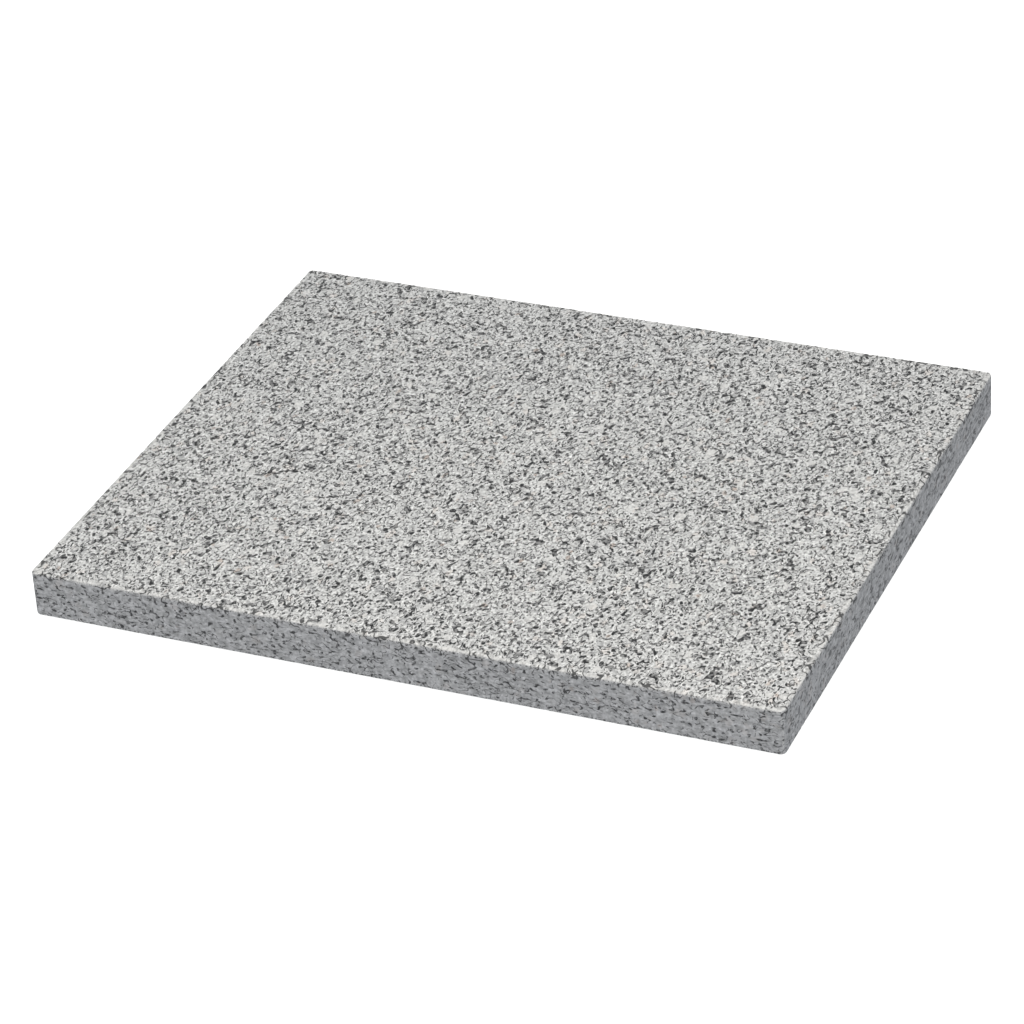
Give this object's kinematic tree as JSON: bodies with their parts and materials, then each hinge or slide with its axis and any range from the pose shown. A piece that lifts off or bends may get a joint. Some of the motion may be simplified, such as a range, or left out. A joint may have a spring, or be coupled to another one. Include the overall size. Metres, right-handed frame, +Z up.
{
  "type": "granite slab",
  "caption": "Flat rectangular slab of pale grey speckled granite with rounded corners and eased edges, a heavy level surface for tooling and stamping leather.",
  "frame": {"origin": "middle of the underside, on the surface that the slab rests on", "axes": "+X along the long side, +Y along the short side away from the front long side, +Z up through the thickness"},
  "size_m": [0.3048, 0.254, 0.0191],
  "materials": {
    "granite": "honed matte top, sawn sides"
  },
  "bodies": {
    "root": {"granite_slab": "granite"}
  },
  "joints": []
}
